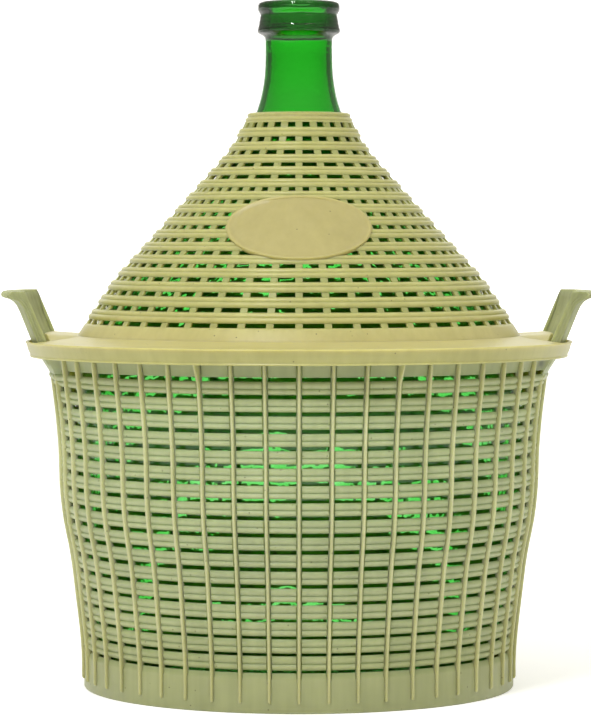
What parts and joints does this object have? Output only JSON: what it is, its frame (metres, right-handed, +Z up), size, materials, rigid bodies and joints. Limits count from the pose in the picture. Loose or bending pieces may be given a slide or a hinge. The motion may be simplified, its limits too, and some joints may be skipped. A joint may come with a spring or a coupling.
{
  "type": "demijohn",
  "caption": "Wide-bellied glass bottle with a narrow neck, held in a slotted plastic basket with lift handles and a lift-off conical cover.",
  "frame": {"origin": "middle of the basket's underside, on the floor", "axes": "+Z up along the bottle's axis, -Y towards the front with the oval plate, +X and -X towards the handles"},
  "size_m": [0.4086, 0.3756, 0.47],
  "materials": {
    "grey_beige_plastic": "satin",
    "yellow_beige_plastic": "satin",
    "green_glass": "gloss"
  },
  "bodies": {
    "basket": {"lower_basket": "grey_beige_plastic"},
    "bottle": {"glass_bottle": "green_glass"},
    "cover": {"upper_cover": "yellow_beige_plastic"}
  },
  "joints": [
    {"name": "bottle_lift", "type": "slide", "parent": "basket", "child": "bottle", "axis": [0, 0, 1], "range_m": [0, 0.27]},
    {"name": "cover_lift", "type": "slide", "parent": "bottle", "child": "cover", "axis": [0, 0, 1], "range_m": [0, 0.25]}
  ]
}
